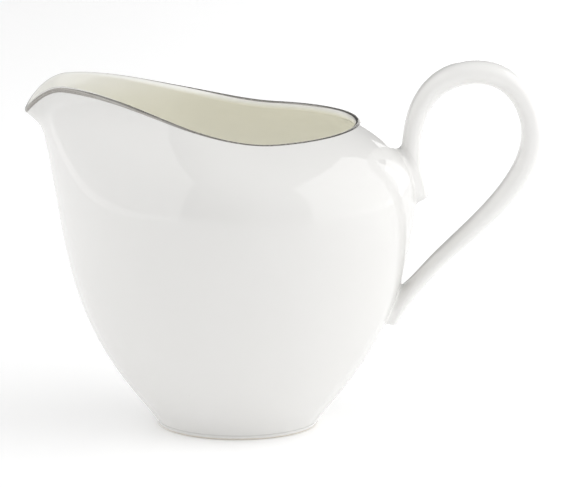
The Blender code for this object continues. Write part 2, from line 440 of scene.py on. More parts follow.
@dataclass(frozen=True)
class FootClay:
    """China of the foot ring: glazed wall above, bare ground clay on the face."""

    name: str = "foot_clay"
    glazed: tuple[float, float, float] = (0.765, 0.759, 0.745)
    bare: tuple[float, float, float] = (0.70, 0.665, 0.600)
    axis_x: float = 0.0
    face_height: float = 0.00045

    def make(self) -> bpy.types.Material:
        """Build the material.

        Returns:
            Clay that is bare up to the glaze line, with turning scratches and rub marks.
        """
        s = Surface(self.name)
        place = s.node("ShaderNodeSeparateXYZ", Vector=s.place)
        x = s.number(place.outputs["X"]) - self.axis_x
        y = s.number(place.outputs["Y"])
        z = s.number(place.outputs["Z"])
        radius = (x * x + y * y) ** 0.5
        ragged = s.noise(420.0, 3.0, 0.6)
        limit = self.face_height + (ragged - 0.5) * 0.0003
        bare = ((limit - z) * 9000.0 + 0.5).clamped()
        grain = s.noise(5200.0, 3.0, 0.6)
        rings = s.node("ShaderNodeTexNoise", {"noise_dimensions": "1D"},
                       W=radius * 9000.0, Scale=1.0, Detail=3.0, Roughness=0.6)
        ring = s.number(rings.outputs["Fac"])
        rubbed = ((s.noise(310.0, 4.0, 0.62) - 0.53) * 5.0).clamped()
        clay = s.blend(ring * 0.5 + grain * 0.4, self.bare,
                       tuple(c * 1.12 for c in self.bare))
        marked = s.blend(rubbed * 0.45, clay, (0.34, 0.33, 0.32))
        colour = s.blend(bare, self.glazed, marked)
        rough = bare * (0.52 + grain * 0.16) + 0.05
        relief = s.bump((ring * 0.6 + grain * 0.4) * bare, 0.00002)
        return s.finish(Base_Color=colour, Roughness=rough, Normal=relief, IOR=1.52)


@dataclass(frozen=True)
class PlatinumLine:
    """Fired platinum film, drawn on by a banding brush."""

    name: str = "platinum_line"
    bright: tuple[float, float, float] = (0.30, 0.285, 0.265)
    worn: tuple[float, float, float] = (0.38, 0.37, 0.35)
    gloss: float = 0.20

    def make(self) -> bpy.types.Material:
        """Build the material.

        Returns:
            Metal with faint brush drag and slightly rubbed patches.
        """
        s = Surface(self.name)
        drag = s.noise(900.0, 3.0, 0.6)
        patch = ((s.noise(130.0, 3.0, 0.6) - 0.5) * 3.0 + 0.4).clamped()
        colour = s.blend(patch, self.bright, self.worn)
        rough = self.gloss + drag * 0.10 + patch * 0.05
        relief = s.bump(drag, 0.000006)
        return s.finish(Base_Color=colour, Roughness=rough, Metallic=1.0, Normal=relief)


@dataclass(frozen=True)
class StudioTable:
    """Pale, slightly glowing table top, as a light table is."""

    name: str = "studio_table"
    colour: tuple[float, float, float] = (0.95, 0.95, 0.95)
    glow: float = 0.13

    def make(self) -> bpy.types.Material:
        """Build the material.

        Returns:
            A matt white surface with a faint unevenness.
        """
        s = Surface(self.name)
        cloud = s.noise(3.0, 2.0, 0.5)
        colour = s.blend(cloud, self.colour, tuple(c * 0.985 for c in self.colour))
        return s.finish(Base_Color=colour, Roughness=0.6,
                        Emission_Color=(1.0, 1.0, 1.0, 1.0), Emission_Strength=self.glow)


# ---- the wall ------------------------------------------------------------------
@dataclass
class JugWall:
    """The slip-cast wall: turned below the belly, drawn out above it to a lip.

    Sizes are in millimetres and measured from the turning axis. Lean and pulls are
    their value at the handle, then how much they change by the nose.
    """

    axis_x: float
    base_z: float
    glaze: bpy.types.Material
    base_r: float = 21.2
    base_climb: float = math.radians(40.5)
    belly_r: float = 42.1
    belly_z: float = 48.0
    belly_slope: float = 0.167
    lower_pull: tuple[float, float] = (18.0, 20.2)
    mouth_r: float = 29.2
    mouth_back_r: float = 28.6
    nose_r: float = 9.1
    nose_tip: float = 51.2
    lip_low_z: float = 73.5
    lip_high_z: float = 83.4
    lip_tip_z: float = 76.2
    lip_back_rise: float = 0.6
    sweep: tuple[float, float] = (-9.4, 41.1)
    lip_lean: tuple[float, float] = (-61.0, 102.0)
    belly_pull: tuple[float, float] = (16.2, 14.8)
    lip_pull: tuple[float, float] = (11.2, 3.2)
    wall: float = 2.3
    lip_wall: float = 1.9
    lip_round: float = 0.75
    foot_skin_z: float = 1.01
    foot_skin_r: float = 19.35
    floor_z: float = 5.9
    half_columns: int = 134
    outer_rows: int = 168
    inner_rows: int = 104
    lip_rows: int = 14

    def column_angles(self) -> Array:
        """Angles of the columns, closer together at the nose.

        Returns:
            Angles from 0 at the handle, all the way round.
        """
        share = np.arange(self.half_columns + 1) / self.half_columns
        half = math.pi * share + 0.45 * np.sin(math.pi * share)
        return np.concatenate([half, 2.0 * math.pi - half[-2:0:-1]])

    def mouth_plan(self, angles: Array) -> tuple[Array, Array]:
        """Plan of the lip: round mouth, two tangents and a round nose, softened.

        Args:
            angles: column angles.

        Returns:
            Places in plan, and outward angles, for each column.
        """
        steps = 720
        phi = 2.0 * math.pi * np.arange(steps) / steps
        half = np.minimum(phi, 2.0 * math.pi - phi)
        nose_x = self.nose_tip - self.nose_r
        spread = math.acos((self.mouth_r - self.nose_r) / nose_x)
        leave = math.pi - spread
        straight = math.sqrt(nose_x ** 2 - (self.mouth_r - self.nose_r) ** 2)
        along = np.maximum(half - leave, 0.0) / spread * (straight + self.nose_r * spread)
        share = np.minimum(along / straight, 1.0)
        turn = np.where(half <= leave, half,
                        leave + np.maximum(along - straight, 0.0) / self.nose_r)
        radius = self.mouth_r + (self.nose_r - self.mouth_r) * share
        reach = np.where(half < math.pi / 2.0, self.mouth_back_r, radius)
        x = reach * np.cos(turn) - nose_x * share
        y = radius * np.sin(turn) * np.where(phi > math.pi, -1.0, 1.0)
        lean = np.where(phi > math.pi, -(turn - half), turn - half)
        plan = soften(np.stack([x, y, lean], axis=1), 6.0, True)
        found = [np.interp(angles, np.append(phi, 2.0 * math.pi),
                           np.append(plan[:, i], plan[0, i])) for i in range(3)]
        return np.stack(found[:2], axis=1), found[2] + angles

    def lip_height(self, x: Array) -> Array:
        """Height of the lip at x from the axis, an S from the mouth to the nose."""
        z = self.lip_low_z + (self.lip_high_z - self.lip_low_z) * ease(*self.sweep, -x)
        past = np.maximum((-x - self.sweep[1]) / (self.nose_tip - self.sweep[1]), 0.0)
        z = z - (self.lip_high_z - self.lip_tip_z) * past ** 2
        return z + self.lip_back_rise * np.maximum(x / self.mouth_r, 0.0) ** 2

    def outer_grid(self) -> Array:
        """Outside of the wall, from the foot's glaze line up to the lip's shoulder.

        Returns:
            Points by row, column and axis, the rows evenly spaced up each column.
        """
        phi = self.column_angles()
        plan, turn = self.mouth_plan(phi)
        zero, one = np.zeros_like(phi), np.ones_like(phi)
        side = np.stack([np.cos(phi), np.sin(phi), zero], axis=1)
        up = np.stack([zero, zero, one], axis=1)
        spout = ease(math.radians(95.0), math.pi, np.minimum(phi, 2.0 * math.pi - phi))
        lean = np.radians(self.lip_lean[0] + self.lip_lean[1] * spout)[:, None]
        out = np.stack([np.cos(turn), np.sin(turn), zero], axis=1)
        belly = side * self.belly_r + up * self.belly_z
        slope = side * self.belly_slope + up
        lip = np.concatenate([plan, self.lip_height(plan[:, 0])[:, None]], axis=1)
        arrive = out * np.sin(lean) + up * np.cos(lean)
        rise = (self.belly_pull[0] + self.belly_pull[1] * spout)[:, None]
        settle = (self.lip_pull[0] - self.lip_pull[1] * spout)[:, None]
        upper = bezier(belly, belly + slope * rise, lip - arrive * settle, lip,
                       np.linspace(0.0, 1.0, 160))
        start = side * self.base_r + up * self.base_z
        climb = side * math.sin(self.base_climb) + up * math.cos(self.base_climb)
        lower = bezier(start, start + climb * self.lower_pull[0],
                       belly - slope * self.lower_pull[1], belly,
                       np.linspace(0.0, 1.0, 130))
        toe = side * self.foot_skin_r + up * self.foot_skin_z
        foot = bezier(toe, toe + (start - toe) * 0.33, toe + (start - toe) * 0.66, start,
                      np.linspace(0.0, 1.0, 14))
        lines = np.concatenate([foot[:-1], lower[:-1], upper])
        belly_row = len(foot) + len(lower) - 3
        grid = np.empty((self.outer_rows, len(phi), 3))
        for column in range(len(phi)):
            line = lines[:, column]
            run = np.append(0.0, np.cumsum(np.linalg.norm(np.diff(line, axis=0), axis=1)))
            spots = np.linspace(0.0, run[-1] - self.lip_round, self.outer_rows)
            path = np.stack([np.interp(spots, run, line[:, i]) for i in range(3)], axis=1)
            step = spots[1]
            tight = soften(path, 0.9 / step, False)
            loose = soften(path, 3.2 / step, False)
            near = np.exp(-((spots - run[belly_row]) / 9.0) ** 2)[:, None]
            grid[:, column] = tight + (loose - tight) * near
        return grid

    @staticmethod
    def outward(grid: Array) -> Array:
        """Directions straight out of a closed grid whose rows climb.

        Args:
            grid: points by row, column and axis.

        Returns:
            Unit vectors, one for each point.
        """
        around = np.roll(grid, -1, axis=1) - np.roll(grid, 1, axis=1)
        return unit(np.cross(around, np.gradient(grid, axis=0)))

    def lip_arc(self, grid: Array, start: float, end: float | Array, steps: int,
                lift: float = 0.0) -> Array:
        """Rows over the lip's rounded edge, from outside to inside.

        Args:
            grid: the outer grid.
            start: first angle of the arc, 0 where the outside ends.
            end: last angle, pi where the inside starts, or one for each column.
            steps: number of rows.
            lift: distance the rows stand off the lip.

        Returns:
            Points by row, column and axis.
        """
        top = grid[-1]
        up = unit(grid[-1] - grid[-2])
        inward = -self.outward(grid)[-1]
        middle = top + inward * self.lip_wall * 0.5
        angle = np.linspace(start, end, steps).reshape(steps, -1, 1)
        return (middle - inward * np.cos(angle) * (self.lip_wall * 0.5 + lift)
                + up * np.sin(angle) * (self.lip_round + lift))

    def inner_grid(self, grid: Array) -> Array:
        """Inside of the wall, from the lip down to the middle of the floor.

        Args:
            grid: the outer grid.

        Returns:
            Points by row, column and axis, the first row at the lip.
        """
        normal = self.outward(grid)
        height = grid[-1, :, 2] - grid[:, :, 2]
        thick = self.lip_wall + (self.wall - self.lip_wall) * ease(0.0, 24.0, height)
        inside = (grid - normal * thick[:, :, None])[::-1]
        keep = int(np.searchsorted(-inside[:, 0, 2], -12.5))
        rows = np.linspace(0, keep, self.inner_rows).round().astype(int)
        wall = inside[rows]
        down = unit(wall[-1] - wall[-2])
        centre = np.array([0.0, 0.0, self.floor_z]) + np.zeros_like(wall[-1])
        flat = wall[-1] * 0.58
        flat[:, 2] = self.floor_z
        floor = bezier(wall[-1], wall[-1] + down * 6.4, flat, centre,
                       np.linspace(0.0, 1.0, 26))
        return np.concatenate([wall, floor[1:-1]])

    def underside(self, grid: Array) -> Array:
        """Rows from the middle of the underside out to the foot's glaze line.

        Args:
            grid: the outer grid.

        Returns:
            Points by row, column and axis.
        """
        side = unit(grid[0] * np.array([1.0, 1.0, 0.0]))
        profile = ((3.0, 3.82), (7.0, 3.78), (11.0, 3.68), (14.0, 3.6), (18.2, 3.6),
                   (18.2, 1.3), (19.0, 1.06))
        rows = []
        for radius, z in profile:
            row = side * radius
            row[:, 2] = z
            rows.append(row)
        return np.array(rows)

    def build(self) -> tuple[bpy.types.Object, Array]:
        """Make the wall as one closed mesh with a mask of its inside.

        Returns:
            The object, and the outer grid for the pieces that sit on it.
        """
        grid = self.outer_grid()
        lip = self.lip_arc(grid, 0.0, math.pi, self.lip_rows)
        inner = self.inner_grid(grid)
        rows = np.concatenate([self.underside(grid), grid, lip[1:-1], inner])
        count, columns = rows.shape[:2]
        ends = np.array([[0.0, 0.0, 3.84], [0.0, 0.0, self.floor_z]])
        verts = np.concatenate([rows.reshape(-1, 3), ends])
        verts[:, 0] += self.axis_x
        faces = []
        for row in range(count - 1):
            low = row * columns
            for c in range(columns):
                d = (c + 1) % columns
                faces.append((low + c, low + d, low + columns + d, low + columns + c))
        bottom, floor = count * columns, count * columns + 1
        last = (count - 1) * columns
        for c in range(columns):
            d = (c + 1) % columns
            faces.append((bottom, d, c))
            faces.append((floor, last + c, last + d))
        obj = mesh_object("glazed_wall", verts * MM, faces, self.glaze)
        # Mask of the inside surface; the glaze uses it to paint the creamier glow that stands in for
        # light let through the wall
        mask = np.zeros((count, columns))
        first = len(rows) - len(inner)
        mask[first:] = 1.0
        mask[first - len(lip) + 2:first] = np.linspace(0.0, 1.0, len(lip) - 2)[:, None]
        layer = obj.data.attributes.new("inside", "FLOAT", "POINT")
        layer.data.foreach_set("value", np.append(mask.ravel(), [0.0, 1.0]).astype("f4"))
        return obj, grid


# ---- what node trees sweep -----------------------------------------------------
class Sweep(Bench):
    """A geometry node tree that turns a wire or a strip into a finished piece."""

    def __init__(self, name: str, inputs: dict[str, tuple[str, Any]]) -> None:
        """Start a tree with named inputs.

        Args:
            name: the tree's name.
            inputs: socket type and value for each input's name.
        """
        super().__init__(bpy.data.node_groups.new(name, "GeometryNodeTree"))
        face = self.tree.interface
        face.new_socket("Geometry", in_out="INPUT", socket_type="NodeSocketGeometry")
        face.new_socket("Geometry", in_out="OUTPUT", socket_type="NodeSocketGeometry")
        self.values: dict[str, Any] = {}
        for label, (kind, value) in inputs.items():
            made = face.new_socket(label, in_out="INPUT", socket_type=kind)
            self.values[made.identifier] = value
        self.entry = self.node("NodeGroupInput").outputs

    def fact(self, name: str, kind: str = "FLOAT") -> bpy.types.NodeSocket:
        """Look up a number stored on the wire."""
        made = self.node("GeometryNodeInputNamedAttribute", {"data_type": kind}, Name=name)
        return made.outputs["Attribute"]

    def parts(self, vector: bpy.types.NodeSocket) -> tuple[Number, Number, Number]:
        """Split a vector into its three numbers."""
        made = self.node("ShaderNodeSeparateXYZ", Vector=vector)
        return tuple(self.number(made.outputs[i]) for i in range(3))

    def vector(self, x: Any, y: Any, z: Any) -> bpy.types.NodeSocket:
        """Join three numbers into a vector."""
        return self.node("ShaderNodeCombineXYZ", X=x, Y=y, Z=z).outputs[0]

    def close(self, geometry: bpy.types.NodeSocket) -> None:
        """End the tree with real geometry in its own material."""
        real = self.node("GeometryNodeRealizeInstances", Geometry=geometry)
        dressed = self.node("GeometryNodeSetMaterial", Geometry=real.outputs[0],
                            Material=self.entry["Material"])
        self.node("NodeGroupOutput", Geometry=dressed.outputs[0])

    def run(self, source: bpy.types.Object, name: str) -> bpy.types.Object:
        """Run the tree on a wire and keep the result as a plain mesh.

        Args:
            source: wire or strip; it is removed afterwards.
            name: the finished piece's name.

        Returns:
            The finished object, with its faces outwards.
        """
        modifier = source.modifiers.new(self.tree.name, "NODES")
        modifier.node_group = self.tree
        for identifier, value in self.values.items():
            modifier[identifier] = value
        graph = bpy.context.evaluated_depsgraph_get()
        graph.update()
        mesh = bpy.data.meshes.new_from_object(source.evaluated_get(graph))
        mesh.name = name
        bpy.data.objects.remove(source)
        obj = bpy.data.objects.new(name, mesh)
        bpy.context.scene.collection.objects.link(obj)
        spots = np.empty(len(mesh.vertices) * 3, "f4")
        mesh.vertices.foreach_get("co", spots)
        spots = spots.reshape(-1, 3).astype(float)
        mesh.calc_loop_triangles()
        tris = np.empty(len(mesh.loop_triangles) * 3, "i4")
        mesh.loop_triangles.foreach_get("vertices", tris)
        a, b, c = (spots[tris.reshape(-1, 3)[:, i]] for i in range(3))
        if np.einsum("ij,ij->i", a, np.cross(b, c)).sum() < 0.0:
            mesh.flip_normals()
        mesh.shade_smooth()
        mesh.set_sharp_from_angle(angle=math.radians(50.0))
        return obj


@dataclass
class FootRing:
    """The foot: a turned ring with a rounded toe, a flat bare face and a recess."""

    axis_x: float
    clay: bpy.types.Material
    toe_r: float = 19.30
    bearing: tuple[float, float] = (16.85, 18.65)
    recess_r: float = 15.6
    top_z: float = 3.6
    steps: int = 256

    def profile(self) -> Array:
        """Radius and height of the ring's section, once round it.

        Returns:
            Points in millimetres.
        """
        arc = np.linspace(0.0, math.pi / 2.0, 9)
        toe = np.stack([self.bearing[1] + 0.62 * np.cos(arc), 0.62 - 0.62 * np.sin(arc)],
                       axis=1)
        inner = np.stack([self.bearing[0] - 0.45 * np.sin(arc), 0.45 - 0.45 * np.cos(arc)],
                         axis=1)
        fillet = np.stack([self.recess_r - 1.5 + 1.5 * np.cos(arc),
                           self.top_z - 1.5 + 1.5 * np.sin(arc)], axis=1)
        top = np.array([[13.6, self.top_z + 0.5], [18.0, self.top_z + 0.3], [18.0, 1.5],
                        [18.9, 1.04], [self.toe_r - 0.06, 1.0], [self.toe_r, 0.95]])
        return np.concatenate([top, toe, inner, fillet])

    def build(self) -> bpy.types.Object:
        """Turn the section round the axis with a node tree.

        Returns:
            The finished ring.
        """
        section = self.profile() * MM
        flat = np.stack([section[:, 0], section[:, 1], 0.0 * section[:, 0]], axis=1)
        wire = path_object("foot_section", flat, True, {"section": flat})
        tree = Sweep("turned_ring", {
            "Axis X": ("NodeSocketFloat", self.axis_x * MM),
            "Steps": ("NodeSocketInt", self.steps),
            "Material": ("NodeSocketMaterial", self.clay),
        })
        outline = tree.node("GeometryNodeMeshToCurve", Mesh=tree.entry["Geometry"])
        circle = tree.node("GeometryNodeCurvePrimitiveCircle", Resolution=tree.entry["Steps"],
                           Radius=1.0)
        here = tree.node("GeometryNodeInputPosition").outputs[0]
        marked = tree.node("GeometryNodeStoreNamedAttribute",
                           {"data_type": "FLOAT_VECTOR", "domain": "POINT"},
                           Geometry=circle.outputs[0], Name="round", Value=here)
        swept = tree.node("GeometryNodeCurveToMesh", Curve=marked.outputs[0],
                          Profile_Curve=outline.outputs[0])
        cos, sin, _ = tree.parts(tree.fact("round", "FLOAT_VECTOR"))
        radius, height, _ = tree.parts(tree.fact("section", "FLOAT_VECTOR"))
        spot = tree.vector(cos * radius + tree.number(tree.entry["Axis X"]),
                           sin * radius, height)
        placed = tree.node("GeometryNodeSetPosition", Geometry=swept.outputs[0], Position=spot)
        tree.close(placed.outputs[0])
        return tree.run(wire, "turned_foot")


@dataclass
class StrapHandle:
    """The loop handle: an oval strap that thins and flattens where it meets the wall.

    Nodes are x from the axis, z, direction in degrees, pull before, pull after, and
    thickness, with lengths in millimetres. They were found by a fit outside this
    script, and aren't worked out from driving dimensions.
    """

    axis_x: float
    glaze: bpy.types.Material
    width: float = 8.8
    end_round: float = 0.85
    squareness: float = 0.85
    sides: int = 72
    spacing: float = 0.42
    least_half: float = 0.3
    buried: float = 1.1
    nodes: tuple[tuple[float, ...], ...] = (
        (42.8, 54.8, 101.0, 0.0, 5.8, 6.0),
        (41.6, 69.1, 85.5, 7.9, 11.4, 4.6),
        (57.2, 85.7, 0.0, 8.1, 8.9, 5.6),
        (70.5, 70.5, -90.0, 7.0, 12.8, 5.5),
        (46.4, 38.1, -132.0, 10.8, 6.7, 3.7),
        (36.4, 24.9, -118.5, 6.0, 0.0, 4.0),
    )

    def lay_out(self, wall_depth: Callable[[Array, Array], Array]) -> None:
        """Work out the middle line and the strap's half sizes along it.

        Args:
            wall_depth: function that gives the distance outside the wall for x and z.
        """
        line, thick = [], []
        t = np.linspace(0.0, 1.0, 80)
        for a, b in zip(self.nodes, self.nodes[1:]):
            p0, p3 = np.array(a[:2]), np.array(b[:2])
            d0 = np.array([math.cos(math.radians(a[2])), math.sin(math.radians(a[2]))])
            d3 = np.array([math.cos(math.radians(b[2])), math.sin(math.radians(b[2]))])
            last = b is self.nodes[-1]
            line.append(bezier(p0, p0 + d0 * a[4], p3 - d3 * b[3], p3, t)[:None if last else -1])
            thick.append((a[5] + (b[5] - a[5]) * ease(0.0, 1.0, t))[:None if last else -1])
        points, thickness = np.concatenate(line), np.concatenate(thick)
        run = np.append(0.0, np.cumsum(np.linalg.norm(np.diff(points, axis=0), axis=1)))
        edge = self.end_round * (1.0 - np.cos(np.linspace(0.0, math.pi / 2.0, 8)))[:-1]
        inside = np.arange(self.end_round, run[-1] - self.end_round, self.spacing)
        spots = np.concatenate([edge, inside, run[-1] - edge[::-1]])
        even = np.linspace(0.0, run[-1], 600)
        smooth = np.stack([np.interp(even, run, points[:, i]) for i in range(2)]
                          + [np.interp(even, run, thickness)], axis=1)
        smooth = soften(smooth, 1.6 / even[1], False)
        self.centre = np.stack([np.interp(spots, even, smooth[:, i]) for i in range(2)], axis=1)
        slope = np.gradient(smooth[:, :2], axis=0)
        ahead = np.stack([np.interp(spots, even, slope[:, i]) for i in range(2)], axis=1)
        self.ahead = unit(ahead)
        self.across = np.stack([self.ahead[:, 1], -self.ahead[:, 0]], axis=1)
        half = np.interp(spots, even, smooth[:, 2]) * 0.5
        depth = wall_depth(self.centre[:, 0], self.centre[:, 1])
        deep = depth - half
        room = np.clip(half + np.minimum(deep + self.buried, 0.0), 0.5, None)
        inner = soften(room, 1.2, False)
        left = np.minimum(spots, run[-1] - spots)
        cut = self.end_round - np.sqrt(np.maximum(
            self.end_round ** 2 - np.maximum(self.end_round - left, 0.0) ** 2, 0.0))
        self.outer_half = np.maximum(half - cut, self.least_half)
        self.inner_half = np.maximum(inner - cut, self.least_half)
        self.half_width = self.width * 0.5 - cut
        self.full = (half, inner, self.width * 0.5)

    def build(self) -> bpy.types.Object:
        """Sweep the strap along its middle line with a node tree.

        Returns:
            The finished handle.
        """
        zero = np.zeros(len(self.centre))
        centre = np.stack([self.centre[:, 0] + self.axis_x, zero, self.centre[:, 1]], axis=1)
        across = np.stack([self.across[:, 0], zero, self.across[:, 1]], axis=1)
        wire = path_object("handle_line", centre * MM, False, {
            "centre": centre * MM, "across": across,
            "outer_half": self.outer_half * MM, "inner_half": self.inner_half * MM,
            "half_width": self.half_width * MM})
        tree = Sweep("oval_strap", {
            "Sides": ("NodeSocketInt", self.sides),
            "Squareness": ("NodeSocketFloat", self.squareness),
            "Material": ("NodeSocketMaterial", self.glaze),
        })
        line = tree.node("GeometryNodeMeshToCurve", Mesh=tree.entry["Geometry"])
        ring = tree.node("GeometryNodeCurvePrimitiveCircle", Resolution=tree.entry["Sides"],
                         Radius=1.0)
        here = tree.node("GeometryNodeInputPosition").outputs[0]
        marked = tree.node("GeometryNodeStoreNamedAttribute",
                           {"data_type": "FLOAT_VECTOR", "domain": "POINT"},
                           Geometry=ring.outputs[0], Name="round", Value=here)
        swept = tree.node("GeometryNodeCurveToMesh", Curve=line.outputs[0],
                          Profile_Curve=marked.outputs[0], Fill_Caps=True)
        u, v, _ = tree.parts(tree.fact("round", "FLOAT_VECTOR"))
        power = tree.number(tree.entry["Squareness"])
        out = u.sign() * u.size() ** power
        wide = v.sign() * v.size() ** power
        inward = u.below(0.0)
        half = (tree.number(tree.fact("inner_half")) * inward
                + tree.number(tree.fact("outer_half")) * (1.0 - inward))
        cx, _, cz = tree.parts(tree.fact("centre", "FLOAT_VECTOR"))
        ax, _, az = tree.parts(tree.fact("across", "FLOAT_VECTOR"))
        spot = tree.vector(cx + ax * out * half,
                           wide * tree.number(tree.fact("half_width")), cz + az * out * half)
        placed = tree.node("GeometryNodeSetPosition", Geometry=swept.outputs[0], Position=spot)
        tree.close(placed.outputs[0])
        return tree.run(wire, "strap_handle")


@dataclass
class RimLine:
    """The platinum film over the lip's edge, a little uneven as brushed lines are."""

    wall: JugWall
    metal: bpy.types.Material
    film: float = 0.035
    outside_drop: float = 0.20
    wander: float = 0.06
    reach: float = 1.25
    reach_wander: float = 0.12

    def build(self, grid: Array) -> bpy.types.Object:
        """Lay a strip over the lip and thicken it with a node tree.

        Args:
            grid: the wall's outer grid.

        Returns:
            The finished line.
        """
        columns = grid.shape[1]
        phi = self.wall.column_angles()
        sway = (np.sin(3.0 * phi + 0.7) + 0.6 * np.sin(7.0 * phi + 2.1)
                + 0.4 * np.sin(13.0 * phi + 4.4)) / 2.0
        drift = (np.sin(4.0 * phi + 3.3) + 0.5 * np.sin(9.0 * phi)) / 1.5
        arc = self.wall.lip_arc(grid, 0.0, self.reach + self.reach_wander * drift,
                                13, self.film * 0.5)
        fall = unit(grid[-1] - grid[-2])
        drops = np.linspace(1.0, 0.0, 5)[:-1, None, None]
        outer = arc[0] - fall * drops * (self.outside_drop + self.wander * sway)[None, :, None]
        strip = np.concatenate([outer, arc])
        rows = len(strip)
        strip[:, :, 0] += self.wall.axis_x
        faces = []
        for r in range(rows - 1):
            for c in range(columns):
                d = (c + 1) % columns
                faces.append((r * columns + c, r * columns + d,
                              (r + 1) * columns + d, (r + 1) * columns + c))
        source = mesh_object("lip_strip", strip.reshape(-1, 3) * MM, faces)
        tree = Sweep("lip_film", {
            "Film": ("NodeSocketFloat", self.film * MM),
            "Material": ("NodeSocketMaterial", self.metal),
        })
        normal = tree.node("GeometryNodeInputNormal").outputs[0]
        film = tree.number(tree.entry["Film"])
        sunk = tree.node("ShaderNodeVectorMath", {"operation": "SCALE"}, in0=normal,
                         Scale=film * -0.5)
        base = tree.node("GeometryNodeSetPosition", Geometry=tree.entry["Geometry"],
                         Offset=sunk.outputs[0])
        raised = tree.node("GeometryNodeExtrudeMesh", {"mode": "FACES"}, Mesh=base.outputs[0],
                           Offset_Scale=film * 1.5, Individual=False)
        back = tree.node("GeometryNodeFlipFaces", Mesh=base.outputs[0])
        both = tree.node("GeometryNodeJoinGeometry", Geometry=raised.outputs["Mesh"])
        tree.tree.links.new(back.outputs[0], both.inputs[0])
        welded = tree.node("GeometryNodeMergeByDistance", Geometry=both.outputs[0],
                           Distance=0.000001)
        tree.close(welded.outputs[0])
        return tree.run(source, "platinum_lip_line")


